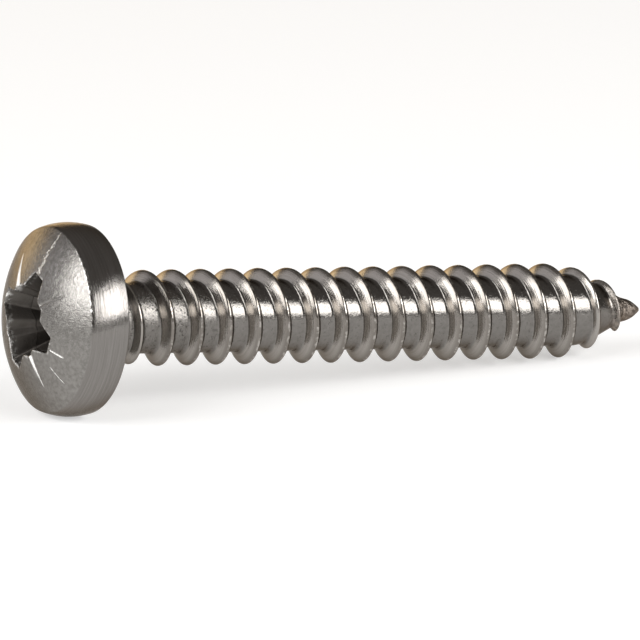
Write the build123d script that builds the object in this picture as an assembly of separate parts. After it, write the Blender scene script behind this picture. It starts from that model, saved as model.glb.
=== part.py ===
"""Pan head sheet metal screw, nominally 4.8 mm by 32 mm, cone point, cross recess with four extra corners.

One cold-headed, thread-rolled piece of stainless steel. It lies on the widest part of its head and on
a crest near its point, as it comes to rest on a flat surface.

Row frame, in millimetres, +Z up: the origin is the centre of the flat face under the head. The axis
leaves it towards the point along +X, and dips by the rest angle.
The screw is drawn along +Z first, with the face under the head at z = 0 and the head below it, and is
then laid down. There +X is the side that ends up underneath.
"""

from build123d import *
from math import atan, ceil, cos, degrees, pi, radians, sin, sqrt, tan
import os

# --- Driving dimensions, in mm and degrees ---
LENGTH = 31.0  # from the face under the head to the point
PITCH = 1.6
THREAD_DIAMETER = 4.68
CORE_DIAMETER = 3.44
CREST_WIDTH = 0.10
RIDGE_ANGLE = 60.0  # between the two flanks of the ridge

HEAD_DIAMETER = 9.4  # halfway down the slightly barrelled side
FACE_SETBACK = 0.2  # of the edge between the side and the crown, inside that
SEAT_SETBACK = 0.1  # of the side's lower end, inside that
HEAD_HEIGHT = 3.57
HEAD_SIDE_HEIGHT = 2.02
SEAT_EDGE_RADIUS = 0.12
SEAT_CLEARANCE = 0.07  # the flat face under the head starts this far outside the crests

POINT_ANGLE = 51.0  # of the bare cone
POINT_RADIUS = 0.12
THREAD_START = 0.85  # where the ridge begins to leave the core
THREAD_FULL = 3.3  # full height from here on
CREST_FADE_LENGTH = 5.2  # from where the crests begin to close in, to the point
CREST_FADE_POWER = 1.85
RIDGE_END = 0.8  # where the ridge is back in the cone, measured from the point
RIDGE_END_LENGTH = 0.75  # over which it gets there

RECESS_SPAN = 4.8  # across two wings, at the crown's surface
RECESS_WING_TIP_WIDTH = 0.86
RECESS_WING_ROOT_WIDTH = 1.56
RECESS_ROOT_SPAN = 2.9  # across two wings' roots, where the extra corners begin
RECESS_CORNER_SPAN = 3.6  # across two of the extra corners
RECESS_DEPTH = 2.3  # from the crown's top to the foot of the wings
RECESS_FOOT_SPAN = 2.6
RECESS_FOOT_WING_TIP_WIDTH = 0.7
RECESS_FOOT_WING_ROOT_WIDTH = 0.9
RECESS_FOOT_ROOT_SPAN = 1.4
RECESS_FOOT_CORNER_SPAN = 1.75
RECESS_CONE_DEPTH = 0.3  # of the shallow cone under the foot
RECESS_TURN = 19.6  # of the wings, from the side that ends up on top
THREAD_TURN = 5.4  # of the ridge at THREAD_START, from the side that ends up underneath

MARK_GAP = 0.06  # between a radial tick mark and the recess's corner
MARK_LENGTH = 1.35
MARK_WIDTH = 0.14
MARK_DEPTH = 0.05

# --- Worked out from them ---
CORE_RADIUS = CORE_DIAMETER / 2
CREST_RADIUS = THREAD_DIAMETER / 2
SEAT_EDGE = HEAD_DIAMETER / 2 - SEAT_SETBACK
CROWN_EDGE = HEAD_DIAMETER / 2 - FACE_SETBACK
CROWN_HEIGHT = HEAD_HEIGHT - HEAD_SIDE_HEIGHT
CROWN_RADIUS = (CROWN_EDGE**2 + CROWN_HEIGHT**2) / (2 * CROWN_HEIGHT)
NECK_RADIUS = CREST_RADIUS + SEAT_CLEARANCE - CORE_RADIUS  # fillet between the core and the flat face
MARK_INNER = RECESS_CORNER_SPAN / 2 + MARK_GAP
POINT_SLOPE = tan(radians(POINT_ANGLE / 2))
POINT_CENTRE = LENGTH - POINT_RADIUS  # of the rounding
CONE_APEX = POINT_CENTRE + POINT_RADIUS / sin(radians(POINT_ANGLE / 2))
RIDGE_SLOPE = tan(radians(RIDGE_ANGLE / 2))
RIDGE_BURY = 0.06  # the ridge's foot lies this far inside the core before they are joined
STEPS_PER_TURN = 16


def core_radius(z):
    """The bare core: a cylinder, then a cone to the point."""
    return min(CORE_RADIUS, (CONE_APEX - z) * POINT_SLOPE)


def crest_radius(z):
    """The ridge's outer radius: it leaves the core, runs full, closes in and sinks into the cone."""
    start = min(max((z - THREAD_START) / (THREAD_FULL - THREAD_START), 0.0), 1.0)
    grown = CORE_RADIUS + (CREST_RADIUS - CORE_RADIUS) * (1.08 * sin(start * pi / 2) - 0.08)
    left = LENGTH - z
    fade = max(0.0, 1 - left / CREST_FADE_LENGTH) ** CREST_FADE_POWER
    envelope = grown * (1 - fade)
    core = core_radius(z)
    end = min(max((left - RIDGE_END) / RIDGE_END_LENGTH, 0.0), 1.0)
    return core + (envelope - core) * sin(end * pi / 2) - 0.03 * (1 - end)


def ridge_section(z):
    """Radius and z of the ridge's four edges, foot to foot, where its middle is at z."""
    crest = crest_radius(z)
    edges = []
    for side in (-1, 1):
        half = CREST_WIDTH / 2 + (crest - core_radius(z)) * RIDGE_SLOPE
        for _ in range(6):
            foot = min(core_radius(z + side * half) - RIDGE_BURY, crest - 0.03)
            half = CREST_WIDTH / 2 + (crest - foot) * RIDGE_SLOPE
        edges.append((foot, z + side * half))
    top = [(crest, z - CREST_WIDTH / 2), (crest, z + CREST_WIDTH / 2)]
    return [edges[0], *top, edges[1]]


def ridge_points(z):
    """The four edge points there, on the helix. The thread is right-hand and has one start."""
    angle = radians(THREAD_TURN) + 2 * pi * (z - THREAD_START) / PITCH
    return [Vector(r * cos(angle), r * sin(angle), h) for r, h in ridge_section(z)]


def make_ridge():
    """The ridge as one closed solid, one turn of faces after another."""
    run = LENGTH - RIDGE_END - THREAD_START
    turns = ceil(run / PITCH)
    rows = [ridge_points(THREAD_START + run * i / (turns * STEPS_PER_TURN))
            for i in range(turns * STEPS_PER_TURN + 1)]
    faces = []
    for turn in range(turns):
        first = turn * STEPS_PER_TURN
        span = rows[first : first + STEPS_PER_TURN + 1]
        lines = [Edge.make_spline([row[k] for row in span]) for k in range(4)]
        faces += [Face.make_surface_from_curves(lines[k], lines[(k + 1) % 4]) for k in range(4)]
    for row in (rows[0], rows[-1]):
        faces.append(Face(Wire.make_polygon(row, close=True)))
    return Solid(Shell(faces))


def make_blank():
    """Head, neck, core and bare cone, turned about the axis."""
    seat, face = SEAT_EDGE, CROWN_EDGE
    neck = CORE_RADIUS + NECK_RADIUS
    half = radians(POINT_ANGLE / 2)
    cone_start = (CORE_RADIUS, CONE_APEX - CORE_RADIUS / POINT_SLOPE)
    cone_end = (POINT_RADIUS * cos(half), POINT_CENTRE + POINT_RADIUS * sin(half))
    tip_turn = (pi / 2 - half) / 2
    tip_mid = (POINT_RADIUS * sin(tip_turn), POINT_CENTRE + POINT_RADIUS * cos(tip_turn))
    tip = (0, LENGTH)
    bulge = (HEAD_DIAMETER / 2, -HEAD_SIDE_HEIGHT / 2)
    crown_mid = face / 2
    crown_drop = CROWN_RADIUS - sqrt(CROWN_RADIUS**2 - crown_mid**2)
    seat_in = SEAT_EDGE_RADIUS * (1 - sqrt(0.5))
    neck_mid = NECK_RADIUS * (1 - sqrt(0.5))
    curve = [
        Line((0, -HEAD_HEIGHT), tip),
        ThreePointArc(tip, tip_mid, cone_end),
        Line(cone_end, cone_start),
        Line(cone_start, (CORE_RADIUS, NECK_RADIUS)),
        ThreePointArc((CORE_RADIUS, NECK_RADIUS), (CORE_RADIUS + neck_mid, neck_mid), (neck, 0)),
        Line((neck, 0), (seat - SEAT_EDGE_RADIUS, 0)),
        ThreePointArc((seat - SEAT_EDGE_RADIUS, 0), (seat - seat_in, -seat_in), (seat, -SEAT_EDGE_RADIUS)),
        ThreePointArc((seat, -SEAT_EDGE_RADIUS), bulge, (face, -HEAD_SIDE_HEIGHT)),
        ThreePointArc((face, -HEAD_SIDE_HEIGHT), (crown_mid, -HEAD_HEIGHT + crown_drop), (0, -HEAD_HEIGHT)),
    ]
    return revolve(Plane.XZ * make_face(curve), Axis.Z)


def recess_outline(span, tip_width, root_width, root_span, corner_span):
    """The recess's outline at one level: four wings, with a corner between each two."""
    reach, tip = span / 2, tip_width / 2
    inner, root = root_span / 2, root_width / 2
    corner = corner_span / 2 * sqrt(0.5)
    quarter = [(reach, tip), (inner, root), (corner, corner), (root, inner), (tip, reach)]
    points = []
    for turn in range(4):
        c, s = cos(turn * pi / 2), sin(turn * pi / 2)
        points += [(x * c - y * s, x * s + y * c) for x, y in quarter]
    return points


def make_recess():
    """The cross recess's hollow, narrowing to its foot, with a shallow cone below."""
    rim_drop = CROWN_RADIUS - sqrt(CROWN_RADIUS**2 - (RECESS_SPAN / 2) ** 2)
    over = 0.2  # the cutter starts this far above the crown's top
    grow = (rim_drop + over) / (RECESS_DEPTH - rim_drop)
    rim = (RECESS_SPAN, RECESS_WING_TIP_WIDTH, RECESS_WING_ROOT_WIDTH, RECESS_ROOT_SPAN, RECESS_CORNER_SPAN)
    foot = (RECESS_FOOT_SPAN, RECESS_FOOT_WING_TIP_WIDTH, RECESS_FOOT_WING_ROOT_WIDTH,
            RECESS_FOOT_ROOT_SPAN, RECESS_FOOT_CORNER_SPAN)
    above = [a + (a - b) * grow for a, b in zip(rim, foot)]
    top = Pos(0, 0, -HEAD_HEIGHT - over) * make_face(Polyline(*recess_outline(*above), close=True))
    low = Pos(0, 0, -HEAD_HEIGHT + RECESS_DEPTH) * make_face(Polyline(*recess_outline(*foot), close=True))
    base = RECESS_FOOT_WING_ROOT_WIDTH / 2
    bottom = -HEAD_HEIGHT + RECESS_DEPTH
    cone_line = [(0, bottom - 0.1), (base, bottom - 0.1), (base, bottom), (0, bottom + RECESS_CONE_DEPTH)]
    cone = revolve(Plane.XZ * make_face(Polyline(*cone_line, close=True)), Axis.Z)
    return Rot(0, 0, 180 + RECESS_TURN) * (loft([top, low], ruled=True) + cone)


def make_marks():
    """The radial tick marks, each halfway between two wings and equally deep along the crown."""
    centre = Pos(0, 0, -HEAD_HEIGHT + CROWN_RADIUS)
    skin = centre * (Sphere(CROWN_RADIUS + 0.5) - Sphere(CROWN_RADIUS - MARK_DEPTH))
    bar = Pos(MARK_INNER + MARK_LENGTH / 2, 0, -HEAD_HEIGHT) * Box(MARK_LENGTH, MARK_WIDTH, 2)
    bars = [Rot(0, 0, RECESS_TURN + 45 + 90 * k) * bar for k in range(4)]
    return [skin & one for one in bars]


def rest_angle():
    """How far the axis dips when the head's side and a crest underneath both touch the floor."""
    middle = (HEAD_DIAMETER / 2, -HEAD_SIDE_HEIGHT / 2)
    arc = ThreePointArc((SEAT_EDGE, -SEAT_EDGE_RADIUS), middle, (CROWN_EDGE, -HEAD_SIDE_HEIGHT))
    head = [(arc @ (i / 60)) for i in range(61)]
    z = THREAD_START + PITCH * (1 - (THREAD_TURN % 360) / 360)
    slopes = []
    while z < LENGTH - RIDGE_END - RIDGE_END_LENGTH:
        slopes.append(max((p.X - crest_radius(z)) / (z + CREST_WIDTH / 2 - p.Y) for p in head))
        z += PITCH
    return degrees(atan(min(slopes)))


def make_screw():
    """The whole screw, in the row frame."""
    body = make_blank() + make_ridge()
    body = body - make_recess() - make_marks()
    dip = rest_angle()
    print("rest angle", round(dip, 3))
    return Rot(0, 90 + dip, 0) * body


os.makedirs("parts", exist_ok=True)
screw = make_screw()
if isinstance(screw, Compound) and len(screw.solids()) == 1:
    screw = screw.solids()[0]
screw.label = "screw"
export_step(screw, "parts/screw.step")
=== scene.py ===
"""Pan head sheet metal screw: detailed mesh, worn stainless steel, and a small studio around it.

Sizes are in millimetres in the screw's own frame: +Z from the face under the head (z = 0) to the
point, +X the side that ends up underneath. place() lays it down into the row frame, in metres.
"""

import math
from math import cos, pi, radians, sin, tan
from types import SimpleNamespace

import bmesh
import bpy
import numpy as np
from mathutils import Matrix, Vector


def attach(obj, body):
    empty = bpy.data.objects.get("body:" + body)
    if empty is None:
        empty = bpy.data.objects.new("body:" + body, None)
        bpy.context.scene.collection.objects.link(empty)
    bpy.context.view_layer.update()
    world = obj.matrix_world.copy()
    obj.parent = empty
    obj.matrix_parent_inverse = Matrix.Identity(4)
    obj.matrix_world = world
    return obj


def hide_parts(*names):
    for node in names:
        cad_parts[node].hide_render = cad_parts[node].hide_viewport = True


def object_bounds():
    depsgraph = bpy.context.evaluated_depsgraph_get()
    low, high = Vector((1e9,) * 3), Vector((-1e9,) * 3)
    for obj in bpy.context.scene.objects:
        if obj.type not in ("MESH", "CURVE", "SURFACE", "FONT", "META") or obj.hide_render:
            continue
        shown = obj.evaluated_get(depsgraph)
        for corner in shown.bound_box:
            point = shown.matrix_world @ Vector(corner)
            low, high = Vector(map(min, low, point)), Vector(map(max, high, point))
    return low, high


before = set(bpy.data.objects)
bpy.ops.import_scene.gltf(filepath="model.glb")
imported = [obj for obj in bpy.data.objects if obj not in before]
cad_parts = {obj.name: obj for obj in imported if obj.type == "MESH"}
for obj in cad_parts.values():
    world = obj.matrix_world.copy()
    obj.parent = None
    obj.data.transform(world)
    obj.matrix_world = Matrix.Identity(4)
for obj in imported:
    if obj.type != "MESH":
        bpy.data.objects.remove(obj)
cad_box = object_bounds()
LOW, HIGH = Vector(cad_box[0]), Vector(cad_box[1])

# --- Sizes, as in the CAD source, in mm and degrees ---
# The crest's width, the head's radius and its height are up to 0.01 mm less than there.
LENGTH, PITCH = 31.0, 1.6
CREST_R, CORE_R, CREST_WIDTH = 2.34, 1.72, 0.09
HEAD_R, SEAT_EDGE, CROWN_EDGE = 4.69, 4.6, 4.5
HEAD_HEIGHT, SIDE_HEIGHT = 3.566, 2.02
SEAT_ROUND = 0.12
NECK_R = 0.69  # fillet between the core and the seat
POINT_R, POINT_HALF = 0.12, radians(25.5)
THREAD_START, THREAD_FULL = 0.85, 3.3
FADE_LENGTH, FADE_POWER = 5.2, 1.85
RIDGE_END, RIDGE_END_LENGTH = 0.8, 0.75
FLANK_SLOPE = tan(radians(30))
RECESS_TURN, THREAD_TURN = radians(19.6), radians(5.4)
RECESS_DEPTH, RECESS_CONE = 2.3, 0.3
RIM = dict(reach=2.4, tip=0.43, inner=1.45, root=0.78, corner=1.8)
FOOT = dict(reach=1.3, tip=0.35, inner=0.7, root=0.45, corner=0.875)
DIP = radians(5.05)  # of the axis, as the screw lies

# --- Softer detail of the mesh, in mm ---
TIP_SWELL, TIP_SWELL_LENGTH = 0.11, 1.1  # the worn point is a little fuller than a cone
CONE_EASE = 0.25  # rounds the corner where the cone starts
START_SINK = 0.08  # share of the ridge's height by which it starts under the core
END_SINK = 0.03  # how far under the core the ridge ends
RIDGE_POWER = 1.5  # of the ridge's section: 1 has straight flanks, 2 is a parabola
ROOT_FILLET, CREST_ROUND = 0.15, 0.035
CREST_WAVE, WIDTH_WAVE = 0.008, 0.25  # unevenness of the crest's height in mm, and share of its width
TIP_LENGTH = 0.62  # the last stretch, made of plain rings
TIP_LEVELS = [0.5, 0.38, 0.27, 0.19, 0.14, 0.11, 0.085, 0.06, 0.04, 0.022, 0.008, 0.001]  # from the point
CROWN_BEVEL = 0.045  # how far the crown's edge is eased into the side
LIP_SHARE = 0.035  # width of the recess's rounded lip, as a share of its outline
LIP_DEPTH = 0.07

AROUND = 144  # points in a ring of the shank, the side and the underside
FINE = 2 * AROUND  # points in a ring of the crown
OUTLINE_STEPS = [9, 14, 13, 13, 14, 9]  # along the six edges of a quarter of the recess; FINE in all
CROWN_RINGS, WALL_RINGS = 44, 14

CROWN_HEIGHT = HEAD_HEIGHT - SIDE_HEIGHT
CROWN_R = (CROWN_EDGE**2 + CROWN_HEIGHT**2) / (2 * CROWN_HEIGHT)
SLOPE = tan(POINT_HALF)
APEX = LENGTH - POINT_R + POINT_R / sin(POINT_HALF)

# Marks on the crown: places are (distance from the axis, angle in degrees) in the own frame.
# Radial ticks between the recess's wings: start, end, half width, depth
TICKS = [((1.72, 153.4), (3.05, 152.4), 0.085, 0.055), ((1.86, 237.0), (3.35, 239.6), 0.06, 0.045),
         ((1.8, 329.5), (3.2, 333.8), 0.095, 0.06), ((1.86, 64.6), (3.2, 64.6), 0.07, 0.045)]
# Highlights painted near white along two of the ticks: start, end, half width, taper
TICK_HIGHLIGHTS = [((1.75, 153.4), (3.4, 152.4), 0.3, 0.95), ((1.8, 329.5), (3.4, 333.8), 0.22, 0.95)]
SCRATCHES = [((2.6, 293.0), (3.42, 291.8), 0.055, 0.0), ((2.95, 309.5), (3.9, 311.5), 0.03, 0.0)]
CRACK = ((2.55, 195.5), (4.35, 191.0), 0.13, 0.6)
# The nicks on this stretch of the edge are painted near white as a highlight.
NICK_HIGHLIGHT_ANGLE = radians(237)  # middle of the stretch of the crown's edge that is nicked


def place(points):
    """Own frame in mm to row frame in m."""
    turn = Matrix.Rotation(pi / 2 + DIP, 3, "Y")
    return np.asarray(points) @ np.array(turn).T / 1000


def on_crown_plane(spot):
    """A (distance, angle) place as x and y."""
    distance, angle = spot
    return distance * cos(radians(angle)), distance * sin(radians(angle))


# --- Shank: a grid that follows the helix, so crests and roots stay crisp ---
def core_r(z):
    """Radius of the core, its cone and the rounded point."""
    cone = (APEX - z) * SLOPE
    low = np.minimum(CORE_R, cone)
    ease = np.clip(CONE_EASE - np.abs(CORE_R - cone), 0, None) ** 2 / (4 * CONE_EASE)
    beyond = np.clip(z - (LENGTH - POINT_R), 0, POINT_R)
    tip = np.sqrt(np.clip(POINT_R**2 - beyond**2, 0, None))
    swell = TIP_SWELL * np.sin(pi * np.clip((LENGTH - z) / TIP_SWELL_LENGTH, 0, 1))
    return np.where(z > LENGTH - POINT_R + POINT_R * sin(POINT_HALF), tip, low - ease) + swell


def crest_r(z):
    """Radius over the crests, from the thread's start to its run-out."""
    start = np.clip((z - THREAD_START) / (THREAD_FULL - THREAD_START), 0, 1)
    grown = CORE_R + (CREST_R - CORE_R) * ((1 + START_SINK) * np.sin(start * pi / 2) - START_SINK)
    left = LENGTH - z
    fade = np.clip(1 - left / FADE_LENGTH, 0, 1) ** FADE_POWER
    core = core_r(z)
    end = np.clip((left - RIDGE_END) / RIDGE_END_LENGTH, 0, 1)
    return core + (grown * (1 - fade) - core) * np.sin(end * pi / 2) - END_SINK * (1 - end)


def soft_max(a, k):
    """max(a, 0) with its corner rounded over k."""
    return np.where(np.abs(a) < k, (a + k) ** 2 / (4 * k), np.maximum(a, 0))


def wobble(angle, seed):
    """Slow unevenness along the helix, between about -1 and 1."""
    rng = np.random.default_rng(seed)
    total = np.zeros_like(angle)
    for scale in (0.37, 0.9, 2.3, 5.1):
        total += np.sin(angle * scale + rng.uniform(0, 2 * pi)) * 0.4
    return total


def shank_grid():
    """Vertices of the shank as rows along the helix, with (offset, height share, turns) at each."""
    z_low, z_high = NECK_R, LENGTH - TIP_LENGTH
    first = THREAD_START - PITCH / 2 - PITCH
    steps = int(math.ceil((z_high + PITCH / 2 - first) / PITCH)) * AROUND
    z_mid = first + PITCH * np.arange(steps + 1) / AROUND
    angle = THREAD_TURN + 2 * pi * (z_mid - THREAD_START) / PITCH
    even = np.clip(crest_r(z_mid) - core_r(z_mid), 0, None)
    height = np.clip(even + CREST_WAVE * wobble(angle, 3) * (z_mid > 2), 0, None)
    half = CREST_WIDTH / 2 * (1 + WIDTH_WAVE * wobble(angle, 5))
    base = half + height * FLANK_SLOPE
    side = [half + (base - half) * share for share in (0.0, 0.1, 0.28, 0.5, 0.72, 0.9, 1.05)]
    edge = side[-1]
    side += [edge + (PITCH / 2 - edge) * share for share in (0.2, 0.45, 0.72)]
    columns = [-np.full_like(half, PITCH / 2)] + [-s for s in reversed(side)] + [0 * half] + side
    w = np.stack(columns, axis=1)
    z = z_mid[:, None] + w
    rise = height[:, None] * (1 - (np.abs(w) / base[:, None]) ** RIDGE_POWER)
    h = soft_max(rise, ROOT_FILLET)
    h = np.clip(height[:, None] - soft_max(height[:, None] - h, CREST_ROUND), 0, None)
    zc = np.clip(z, z_low, z_high)
    h = h * np.clip((z - z_low) / 0.12, 0, 1) * np.clip((z_high - z) / 0.1, 0, 1)  # closes both ends
    r = core_r(zc) + h
    a = np.broadcast_to(angle[:, None], z.shape)
    points = np.stack([r * np.cos(a), r * np.sin(a), zc], axis=-1)
    share = np.clip(h / (CREST_R - CORE_R), 0, 1)
    return points, np.stack([w, share, a / (2 * pi)], axis=-1)


class Builder:
    """Collects one mesh's vertices, three values of data for the finish at each, and faces."""

    def __init__(self):
        self.verts, self.data, self.faces = [], [], []

    def add(self, points, data=None):
        start = len(self.verts)
        for k, p in enumerate(points):
            self.verts.append(tuple(p))
            self.data.append(tuple(data[k]) if data is not None else (0.0, 0.0, 0.0))
        return list(range(start, start + len(points)))

    def band(self, a, b):
        n = len(a)
        for k in range(n):
            self.faces.append((a[k], a[(k + 1) % n], b[(k + 1) % n], b[k]))


def ring(r, z):
    """A plain ring of AROUND points."""
    a = THREAD_TURN + 2 * pi * np.arange(AROUND) / AROUND
    return np.stack([r * np.cos(a), r * np.sin(a), np.broadcast_to(z, a.shape)], axis=-1)


def add_shank(mesh):
    """The helix grid, closed by the rounded point."""
    points, data = shank_grid()
    rows, cols = points.shape[:2]
    index = np.full((rows, cols + 1), -1)
    for i in range(rows):
        index[i, :cols] = mesh.add(points[i], data[i])
    index[: rows - AROUND, cols] = index[AROUND:, 0]  # a turn's last column is the next turn's first
    for i in range(rows - 1):
        for j in range(cols):
            quad = (index[i, j], index[i + 1, j], index[i + 1, j + 1], index[i, j + 1])
            if min(quad) < 0:
                continue
            zs = [mesh.verts[q][2] for q in quad]
            if max(zs) <= NECK_R + 1e-6 or min(zs) >= LENGTH - TIP_LENGTH - 1e-6:
                continue
            mesh.faces.append(quad)
    previous = mesh.add(ring(core_r(LENGTH - TIP_LENGTH), LENGTH - TIP_LENGTH))
    for left in TIP_LEVELS:
        here = mesh.add(ring(core_r(np.array(LENGTH - left)), LENGTH - left))
        mesh.band(previous, here)
        previous = here
    mesh.faces.append(tuple(previous))


# --- Head ---
def head_profile():
    """(r, z) from the core round the neck, out along the seat and along the barrelled side."""
    out = []
    for t in np.linspace(0, pi / 2, 8):
        out.append((CORE_R + NECK_R * (1 - cos(t)), NECK_R * (1 - sin(t))))
    for r in np.linspace(CORE_R + NECK_R, SEAT_EDGE - SEAT_ROUND, 10)[1:]:
        out.append((r, 0.0))
    for t in np.linspace(0, pi / 2, 6)[1:]:
        out.append((SEAT_EDGE - SEAT_ROUND * (1 - sin(t)), -SEAT_ROUND * (1 - cos(t))))
    bulge = HEAD_R - (SEAT_EDGE + CROWN_EDGE) / 2
    for t in np.linspace(0, 1, 26)[1:-1]:
        z = -SEAT_ROUND + (-SIDE_HEIGHT + SEAT_ROUND) * t
        out.append((SEAT_EDGE + (CROWN_EDGE - SEAT_EDGE) * t + 4 * bulge * t * (1 - t), z))
    return out


def outline(reach, tip, inner, root, corner):
    """The recess's outline at one level: FINE points, eased corners, wings along x and y."""
    c = corner * math.sqrt(0.5)
    quarter = [(reach, 0), (reach, tip), (inner, root), (c, c), (root, inner), (tip, reach)]
    poly = []
    for turn in range(4):
        co, si = round(cos(turn * pi / 2)), round(sin(turn * pi / 2))
        poly += [Vector((x * co - y * si, x * si + y * co)) for x, y in quarter]
    points = []
    for k, a in enumerate(poly):
        b = poly[(k + 1) % len(poly)]
        steps = OUTLINE_STEPS[k % 6]
        points += [tuple(a.lerp(b, s / steps)) for s in range(steps)]
    points = np.array(points)
    for _ in range(2):  # eases the corners
        points = 0.5 * points + 0.25 * (np.roll(points, 1, 0) + np.roll(points, -1, 0))
    return points


def crown_z(r):
    """Height of the crown's sphere at a distance from the axis."""
    fall = np.sqrt(CROWN_R**2 - np.minimum(r, CROWN_EDGE) ** 2) - (CROWN_R - CROWN_HEIGHT)
    return -SIDE_HEIGHT - fall


def tick_depth(xyz):
    """How deep the tick marks are pressed in at each point of the crown."""
    total = np.zeros(len(xyz))
    for start, end, half, depth in TICKS:
        a, b = np.array(on_crown_plane(start)), np.array(on_crown_plane(end))
        along = b - a
        t = ((xyz[:, :2] - a) @ along) / (along @ along)
        off = xyz[:, :2] - a - np.clip(t, 0, 1)[:, None] * along
        width = half * (1.15 - 0.55 * np.clip(t, 0, 1))  # narrows outwards
        section = np.clip(1 - (np.hypot(off[:, 0], off[:, 1]) / width) ** 2, 0, 1)
        total = np.maximum(total, depth * section * np.clip((1 - t) * 4, 0, 1))
    return total


def to_head(xy, z):
    """Recess coordinates, wings along x and y, to the own frame."""
    turn = pi + RECESS_TURN
    c, s = cos(turn), sin(turn)
    return np.column_stack([xy[:, 0] * c - xy[:, 1] * s, xy[:, 0] * s + xy[:, 1] * c,
                            np.broadcast_to(z, len(xy))])


def on_crown(xy):
    """Points of recess coordinates on the crown, in the own frame."""
    return to_head(xy, crown_z(np.hypot(xy[:, 0], xy[:, 1])))


def crown_rings():
    """Rings from the crown's edge inwards to the recess's lip."""
    rim = outline(**RIM)
    angle = 2 * pi * np.arange(FINE) / FINE
    circle = np.stack([np.cos(angle), np.sin(angle)], axis=-1)
    border = circle * (CROWN_EDGE - CROWN_BEVEL)
    rings = [to_head(circle * (CROWN_EDGE + 0.004), -SIDE_HEIGHT + CROWN_BEVEL),
             to_head(circle * (CROWN_EDGE - 0.008), -SIDE_HEIGHT - 0.006), on_crown(border)]
    for k in range(1, CROWN_RINGS + 1):
        t = (k / CROWN_RINGS) ** 0.85  # closer together towards the recess
        rings.append(on_crown(border * (1 - t) + rim * (1 + LIP_SHARE) * t))
    for t in (0.3, 0.6, 0.85):
        lip = on_crown(rim * (1 + LIP_SHARE * (1 - t)))
        lip[:, 2] += 0.05 * t**2
        rings.append(lip)
    return rings


def recess_rings():
    """Rings down the recess's wall to its foot, and in over the shallow cone."""
    rim, foot = outline(**RIM), outline(**FOOT)
    top = crown_z(np.hypot(rim[:, 0], rim[:, 1])) + LIP_DEPTH
    floor = -HEAD_HEIGHT + RECESS_DEPTH
    rings = []
    for k in range(WALL_RINGS + 1):
        t = k / WALL_RINGS
        rings.append(to_head(rim * (1 - t) + foot * t, top * (1 - t) + floor * t))
    for share, rise in ((0.94, 0.02), (0.7, 0.08), (0.45, 0.17), (0.2, 0.26), (0.04, RECESS_CONE)):
        rings.append(to_head(foot * share, floor + rise))
    return rings


def add_crown(mesh):
    """The crown and the recess. Each point's data is (nearness to the lip, depth share, -1)."""
    crown, recess = crown_rings(), recess_rings()
    ids = []
    for k, points in enumerate(crown):
        points[:, 2] += tick_depth(points)
        lip = np.full(FINE, max(0.0, 1 - (len(crown) - 1 - k) / 5))
        ids.append(mesh.add(points, np.stack([lip, 0 * lip, 0 * lip - 1], axis=-1)))
    for k, points in enumerate(recess):
        lip = np.full(FINE, max(0.0, 1 - (k + 1) / 3))
        deep = np.clip((points[:, 2] - crown_z(np.hypot(points[:, 0], points[:, 1]))) / 2.0, 0, 1)
        ids.append(mesh.add(points, np.stack([lip, deep, 0 * lip - 1], axis=-1)))
    for a, b in zip(ids, ids[1:]):
        mesh.band(b, a)
    mesh.faces.append(tuple(ids[-1]))
    return ids[0]


def add_head(mesh):
    """Neck, seat and side as turned rings, joined to the crown's finer ones."""
    rings = [mesh.add(ring(r, z)) for r, z in head_profile()]
    for a, b in zip(rings, rings[1:]):
        mesh.band(b, a)
    coarse = rings[-1]
    fine = add_crown(mesh)
    start = np.array(mesh.verts[coarse[0]][:2])
    start *= CROWN_EDGE / np.hypot(*start)
    first = np.array([mesh.verts[v][:2] for v in fine])
    shift = int(np.argmin(((first - start) ** 2).sum(1)))
    fine = fine[shift:] + fine[:shift]
    for k in range(AROUND):  # each coarse step over two fine ones
        a, b = coarse[k], coarse[(k + 1) % AROUND]
        p, q, r = fine[2 * k], fine[2 * k + 1], fine[(2 * k + 2) % FINE]
        mesh.faces += [(a, p, q), (a, q, b), (b, q, r)]


def make_screw():
    mesh = Builder()
    add_shank(mesh)
    add_head(mesh)
    own = np.array(mesh.verts)
    me = bpy.data.meshes.new("screw_detail")
    me.from_pydata(place(own).tolist(), [], mesh.faces)
    me.update()
    for name, values in (("own", own), ("helix", np.array(mesh.data))):
        layer = me.attributes.new(name, "FLOAT_VECTOR", "POINT")
        layer.data.foreach_set("vector", values.astype(np.float32).ravel())
    obj = bpy.data.objects.new("screw_detail", me)
    bpy.context.scene.collection.objects.link(obj)
    bm = bmesh.new()
    bm.from_mesh(me)
    bmesh.ops.remove_doubles(bm, verts=bm.verts, dist=2e-8)
    bmesh.ops.dissolve_degenerate(bm, edges=bm.edges, dist=1e-8)
    bmesh.ops.recalc_face_normals(bm, faces=bm.faces)
    open_edges = [e for e in bm.edges if not e.is_manifold]
    print("screw mesh", len(bm.verts), "verts", len(bm.faces), "faces", len(open_edges), "open edges")
    bm.to_mesh(me)
    bm.free()
    me.shade_smooth()
    return obj


screw = make_screw()
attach(screw, "root")
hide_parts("screw")


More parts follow.
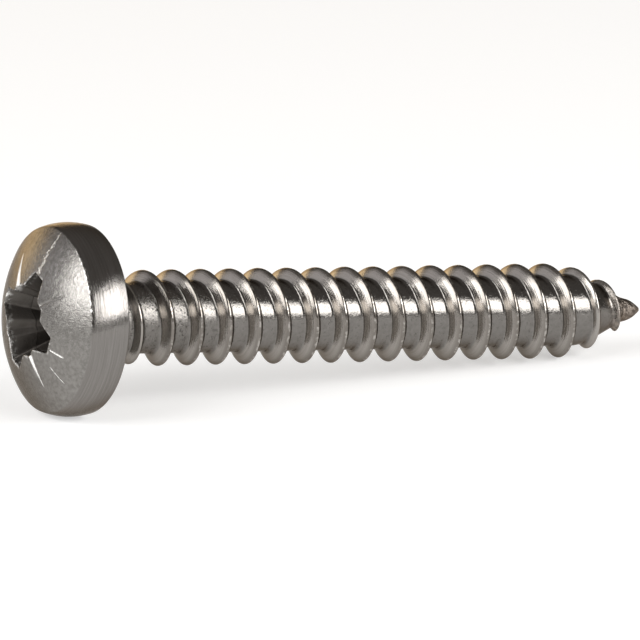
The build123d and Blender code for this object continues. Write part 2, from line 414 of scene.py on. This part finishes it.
# --- Steel ---
class Nodes:
    """Short calls for the few node kinds that the materials are made of."""

    def __init__(self, tree):
        self.tree = tree

    def new(self, kind, **props):
        node = self.tree.nodes.new(kind)
        for key, value in props.items():
            setattr(node, key, value)
        return node

    def put(self, socket, value):
        """Links a socket's output, or sets a plain value."""
        if isinstance(value, bpy.types.NodeSocket):
            self.tree.links.new(value, socket)
        else:
            socket.default_value = value

    def fill(self, node, *values):
        """Puts the values into the node's sockets in order, and returns its first output."""
        for socket, value in zip(node.inputs, values):
            self.put(socket, value)
        return node.outputs[0]

    def math(self, operation, a, b=0.0, c=0.0):
        return self.fill(self.new("ShaderNodeMath", operation=operation), a, b, c)

    def times(self, a, b):
        return self.math("MULTIPLY", a, b)

    def most(self, a, b):
        return self.math("MAXIMUM", a, b)

    def ramp(self, value, low, high, to_low=0.0, to_high=1.0):
        """Smooth step from to_low, up to low, to to_high, from high on."""
        node = self.new("ShaderNodeMapRange", clamp=True, interpolation_type="SMOOTHSTEP")
        return self.fill(node, value, low, high, to_low, to_high)

    def split(self, vector):
        node = self.new("ShaderNodeSeparateXYZ")
        self.put(node.inputs[0], vector)
        return node.outputs

    def join(self, x, y, z):
        return self.fill(self.new("ShaderNodeCombineXYZ"), x, y, z)

    def noise(self, vector, scale, detail, rough):
        node = self.new("ShaderNodeTexNoise")
        self.put(node.inputs["Vector"], vector)
        for name, value in (("Scale", scale), ("Detail", detail), ("Roughness", rough)):
            node.inputs[name].default_value = value
        return node.outputs["Fac"]

    def mix(self, factor, a, b):
        node = self.new("ShaderNodeMix", data_type="RGBA")
        self.put(node.inputs["Factor"], factor)
        for name, colour in (("A", a), ("B", b)):
            self.put(node.inputs[name], (*colour, 1) if isinstance(colour, tuple) else colour)
        return node.outputs["Result"]

    def line(self, x, y, start, end, half, taper):
        """1 on a stroke between two (distance, angle) places on the crown, 0 away from it.

        half is half its width, and taper the share of that which it loses towards the end.
        """
        ax, ay = on_crown_plane(start)
        bx, by = on_crown_plane(end)
        size = math.hypot(bx - ax, by - ay)
        ux, uy = (bx - ax) / size, (by - ay) / size
        px, py = self.math("SUBTRACT", x, ax), self.math("SUBTRACT", y, ay)
        along = self.math("ADD", self.times(px, ux), self.times(py, uy))
        side = self.math("SUBTRACT", self.times(px, uy), self.times(py, ux))
        width = self.math("MULTIPLY_ADD", self.most(along, 0.0), -half * taper / size, half)
        across = self.ramp(self.math("ABSOLUTE", side), self.times(width, 0.35), width, 1.0, 0.0)
        begins = self.ramp(along, -0.04, 0.05)
        stops = self.ramp(along, size - 0.12, size + 0.02, 1.0, 0.0)
        return self.times(across, self.times(begins, stops))


def find_regions(n):
    """The mesh's data, and masks made from it: 1 where a look belongs, 0 elsewhere."""
    own = n.new("ShaderNodeAttribute", attribute_name="own").outputs["Vector"]
    helix = n.new("ShaderNodeAttribute", attribute_name="helix").outputs["Vector"]
    x, y, z = n.split(own)
    w, share, turns = n.split(helix)
    rho = n.math("SQRT", n.math("ADD", n.times(x, x), n.times(y, y)))
    far_out = n.ramp(rho, CORE_R + 2.2, CORE_R + 2.5)
    on_shank = n.ramp(z, 0.0, 0.05)
    root = n.times(on_shank, n.ramp(share, 0.02, 0.15, 1.0, 0.0))
    in_crown = n.math("LESS_THAN", turns, -0.5)
    from_edge = n.math("ABSOLUTE", n.math("ADD", z, SIDE_HEIGHT))
    toward = n.math("MULTIPLY_ADD", x, cos(NICK_HIGHLIGHT_ANGLE), n.times(y, sin(NICK_HIGHLIGHT_ANGLE)))
    return SimpleNamespace(
        own=own, x=x, y=y, z=z, w=w, share=share, turns=turns,
        on_crown=n.ramp(z, -SIDE_HEIGHT - 0.02, -SIDE_HEIGHT + 0.02, 1.0, 0.0),
        on_side=n.times(n.ramp(z, -SIDE_HEIGHT - 0.02, -SIDE_HEIGHT + 0.02), far_out),
        edge=n.times(n.ramp(from_edge, 0.01, 0.06, 1.0, 0.0), far_out),
        # the stretch of the crown's edge whose nicks are painted near white as a highlight
        nick_highlight=n.ramp(n.math("DIVIDE", toward, n.most(rho, 0.1)), 0.86, 0.94),
        inside=n.times(in_crown, n.ramp(share, 0.01, 0.12)),
        lip=n.times(in_crown, w),
        root=root,
        galled=n.times(root, n.ramp(z, 4.0, 8.0, 1.0, 0.3)),
        flank=n.times(n.ramp(share, 0.08, 0.25), n.ramp(share, 0.93, 0.99, 1.0, 0.0)),
        outer=n.times(on_shank, n.ramp(share, 0.55, 0.95)),
        crest=n.ramp(share, 0.9, 0.97),
        point=n.ramp(z, LENGTH - 2.6, LENGTH - 1.2),
    )


def make_grain(n, at):
    """Noises of the finish: even ones, rings turned round the head, and streaks along the thread."""
    turned = n.join(n.times(at.x, 0.22), n.times(at.y, 0.22), n.times(at.z, 11.0))
    rolled = n.join(n.times(at.w, 14.0), n.times(at.share, 9.0), n.times(at.turns, 2.2))
    return SimpleNamespace(
        fine=n.noise(at.own, 12.0, 4.0, 0.65),
        small=n.noise(at.own, 7.0, 3.0, 0.6),
        mid=n.noise(at.own, 5.0, 4.0, 0.6),
        broad=n.noise(at.own, 1.1, 2.0, 0.55),
        rings=n.noise(turned, 1.0, 5.0, 0.75),
        streaks=n.noise(rolled, 1.0, 4.0, 0.65),
        pits=n.ramp(n.noise(at.own, 8.0, 2.0, 0.5), 0.58, 0.7),
    )


def make_strokes(n, at, grain):
    """Two masks on the crown: strokes painted near white as highlights, and those of them that are cut into
    the metal.
    """
    jag = n.math("MULTIPLY_ADD", n.noise(at.own, 3.4, 5.0, 0.75), 1.5, -0.75)
    jagged_x = n.math("ADD", at.x, jag)
    jagged_y = n.math("ADD", at.y, n.times(jag, -0.6))
    crack = n.line(jagged_x, jagged_y, *CRACK)
    scratches = n.most(*[n.line(at.x, at.y, *stroke) for stroke in SCRATCHES])
    ticks = n.most(*[n.line(at.x, at.y, *stroke) for stroke in TICK_HIGHLIGHTS])
    broken = n.most(n.times(crack, n.ramp(grain.fine, 0.4, 0.55, 0.15, 1.0)),
                    n.times(scratches, n.ramp(grain.fine, 0.35, 0.55, 0.3, 1.0)))
    bright = n.times(at.on_crown, n.most(broken, ticks))
    cut = n.times(at.on_crown, n.most(crack, scratches))
    return bright, cut


def steel_colour(n, at, grain, bright):
    """A mottled grey, and over it each region's colours, from the side to the crown's strokes. Darker
    roots, outer flanks and recess are painted shade; lighter flanks and crests, and the near-white lip,
    nicked edge and strokes are painted highlights.
    """
    grey = n.mix(n.ramp(grain.mid, 0.3, 0.7), (0.195, 0.186, 0.174), (0.27, 0.26, 0.246))
    side = n.mix(n.ramp(grain.rings, 0.3, 0.7), (0.18, 0.168, 0.157), (0.24, 0.228, 0.216))
    # Painted shade: the core between the ridges is a darker grey than the rest.
    root = n.mix(grain.mid, (0.14, 0.13, 0.12), (0.24, 0.228, 0.214))
    # Painted highlight: the flanks are a lighter grey, standing in for the key light they pass on from the
    # next ridge.
    flank = n.mix(grain.streaks, (0.26, 0.238, 0.216), (0.46, 0.436, 0.408))
    # Painted shade: the flanks' outer part, up to the crests, is darker.
    outer = n.mix(grain.streaks, (0.12, 0.104, 0.09), (0.27, 0.25, 0.226))
    # Painted shade: the recess's wall and floor are dark.
    recess = n.mix(grain.broad, (0.06, 0.054, 0.048), (0.14, 0.128, 0.116))
    point = n.mix(n.ramp(grain.mid, 0.38, 0.62), (0.06, 0.042, 0.03), (0.32, 0.262, 0.215))
    layers = [
        (at.on_side, side),
        (at.root, root),
        (n.times(at.flank, 0.9), flank),
        (n.times(at.outer, 0.9), outer),
        # Painted highlight: the crests are a lighter grey in patches.
        (n.times(at.crest, n.ramp(grain.mid, 0.48, 0.62)), (0.4, 0.38, 0.355)),
        (n.times(at.inside, 0.9), recess),
        # Painted highlight: the recess's rounded lip is near white in patches.
        (n.times(at.lip, n.ramp(grain.mid, 0.47, 0.6)), (0.9, 0.89, 0.87)),
        # Painted highlight: the nicks on one stretch of the crown's edge are near white.
        (n.times(at.edge, n.times(n.ramp(grain.mid, 0.44, 0.56), at.nick_highlight)), (0.85, 0.84, 0.82)),
        (n.times(at.point, n.ramp(grain.broad, 0.3, 0.7, 0.6, 1.0)), point),
        (n.times(grain.pits, n.times(at.galled, 0.7)), (0.06, 0.055, 0.05)),
        # Painted highlight: the crack, the scratches and two of the ticks are near white over their real
        # marks.
        (n.times(bright, 0.95), (1.0, 0.99, 0.97)),
    ]
    colour = grey
    for mask, over in layers:
        colour = n.mix(mask, colour, over)
    return colour


def steel_roughness(n, at, grain, bright):
    rough = n.math("MULTIPLY_ADD", grain.mid, 0.12, 0.09)
    rougher = ((at.on_crown, 0.07), (bright, 0.35), (at.point, 0.15), (at.inside, 0.25), (at.flank, 0.05))
    for mask, added in rougher:
        rough = n.math("MULTIPLY_ADD", mask, added, rough)
    return rough


def steel_relief(n, at, grain, cut):
    """Height of the fine relief, in mm."""
    reliefs = [
        (n.times(at.on_side, grain.rings), 0.017),
        (n.times(at.flank, grain.streaks), 0.009),
        (n.times(at.galled, grain.fine), 0.024),
        (n.times(at.galled, grain.pits), -0.012),
        (n.times(at.on_crown, grain.fine), 0.013),
        (n.times(at.on_crown, grain.small), 0.011),
        (n.times(at.point, grain.mid), 0.12),
        (grain.mid, 0.006),
        (cut, -0.02),
    ]
    height = 0.0
    for mask, depth in reliefs:
        height = n.math("MULTIPLY_ADD", mask, depth, height)
    return height


def empty_material(name):
    mat = bpy.data.materials.new(name)
    mat.use_nodes = True
    mat.node_tree.nodes.clear()
    return mat


def steel_material():
    """Stainless steel with painted light and shade: roots painted darker as shade, with galled pits, flanks
    painted lighter as a highlight, a turned side and a recess painted dark as shade.
    """
    mat = empty_material("stainless_steel")
    n = Nodes(mat.node_tree)
    at = find_regions(n)
    grain = make_grain(n, at)
    bright, cut = make_strokes(n, at, grain)
    bump = n.new("ShaderNodeBump")
    bump.inputs["Strength"].default_value = 1.0
    bump.inputs["Distance"].default_value = 0.001  # the relief is in mm
    n.put(bump.inputs["Height"], steel_relief(n, at, grain, cut))
    bsdf = n.new("ShaderNodeBsdfPrincipled")
    bsdf.inputs["Metallic"].default_value = 1
    bsdf.inputs["Specular Tint"].default_value = (0.45, 0.41, 0.37, 1)  # worn steel stays dark at its limbs
    n.put(bsdf.inputs["Base Color"], steel_colour(n, at, grain, bright))
    n.put(bsdf.inputs["Roughness"], steel_roughness(n, at, grain, bright))
    n.put(bsdf.inputs["Normal"], bump.outputs[0])
    n.put(n.new("ShaderNodeOutputMaterial").inputs[0], bsdf.outputs[0])
    return mat


screw.data.materials.append(steel_material())


# --- Floor, lamps, world and camera ---
FLOOR_HALF = 3.0  # half its side, in metres
FLOOR_GREY, FLOOR_GLOW = 0.6, 0.47


def floor_paint():
    """Pale paint. Only camera, glossy and transmission rays meet its glow, so the shadow stays."""
    mat = empty_material("floor_paint")
    n = Nodes(mat.node_tree)
    diffuse = n.new("ShaderNodeBsdfDiffuse")
    diffuse.inputs[0].default_value = (FLOOR_GREY, FLOOR_GREY, FLOOR_GREY, 1)
    rays = n.new("ShaderNodeLightPath").outputs
    seen = n.most(n.most(rays["Is Camera Ray"], rays["Is Glossy Ray"]), rays["Is Transmission Ray"])
    glow = n.new("ShaderNodeEmission")
    n.put(glow.inputs["Strength"], n.times(seen, FLOOR_GLOW))
    both = n.fill(n.new("ShaderNodeAddShader"), diffuse.outputs[0], glow.outputs[0])
    n.put(n.new("ShaderNodeOutputMaterial").inputs[0], both)
    return mat


def make_floor():
    corners = [(FLOOR_HALF * sx, FLOOR_HALF * sy, LOW.z) for sx, sy in ((-1, -1), (1, -1), (1, 1), (-1, 1))]
    me = bpy.data.meshes.new("floor")
    me.from_pydata(corners, [], [(0, 1, 2, 3)])
    me.materials.append(floor_paint())
    obj = bpy.data.objects.new("floor", me)
    bpy.context.scene.collection.objects.link(obj)


def card(name, azimuth, elevation, width, height, level, colour=(1, 1, 1), away=0.3):
    """A soft light that faces the screw's middle from that direction.

    Its sides and its distance are in metres. level is how bright its face is, where 1 is white.
    """
    az, el = radians(azimuth), radians(elevation)
    direction = Vector((cos(el) * cos(az), cos(el) * sin(az), sin(el)))
    middle = Vector(((LOW.x + HIGH.x) / 2, 0, 0))
    data = bpy.data.lights.new(name, "AREA")
    data.shape = "RECTANGLE"
    data.size, data.size_y = width, height
    data.energy = level * pi * width * height
    data.color = colour
    obj = bpy.data.objects.new(name, data)
    obj.location = middle + direction * away
    obj.rotation_euler = direction.to_track_quat("Z", "Y").to_euler()
    bpy.context.scene.collection.objects.link(obj)


def make_world():
    world = bpy.data.worlds.new("studio")
    bpy.context.scene.world = world
    world.use_nodes = True
    background = world.node_tree.nodes["Background"]
    background.inputs[0].default_value = (0.2, 0.19, 0.18, 1)
    background.inputs[1].default_value = 1.0


def make_camera():
    """A distant camera with a long lens, a little above the screw and on its head's side."""
    heading, down = radians(29.003), radians(12.122)
    data = bpy.data.cameras.new("camera")
    data.sensor_fit = "HORIZONTAL"
    data.sensor_width = 36
    data.lens = 817.5
    data.clip_start, data.clip_end = 0.02, 20
    obj = bpy.data.objects.new("camera", data)
    obj.location = (-0.32192, -0.60407, 0.14695)
    obj.rotation_euler = (pi / 2 - down, 0, -heading)
    bpy.context.scene.collection.objects.link(obj)
    bpy.context.scene.camera = obj


make_floor()
card("key", -57, 24, 0.34, 0.16, 6.8)
card("left", 188, 30, 0.24, 0.2, 5.0)
card("back_left", 135, 20, 0.22, 0.2, 0.6, (0.96, 0.95, 1.0))
card("back_warm", 88, 10, 0.3, 0.1, 2.3, (1.0, 0.78, 0.47))
make_world()
make_camera()
bpy.context.scene.view_settings.view_transform = "Standard"
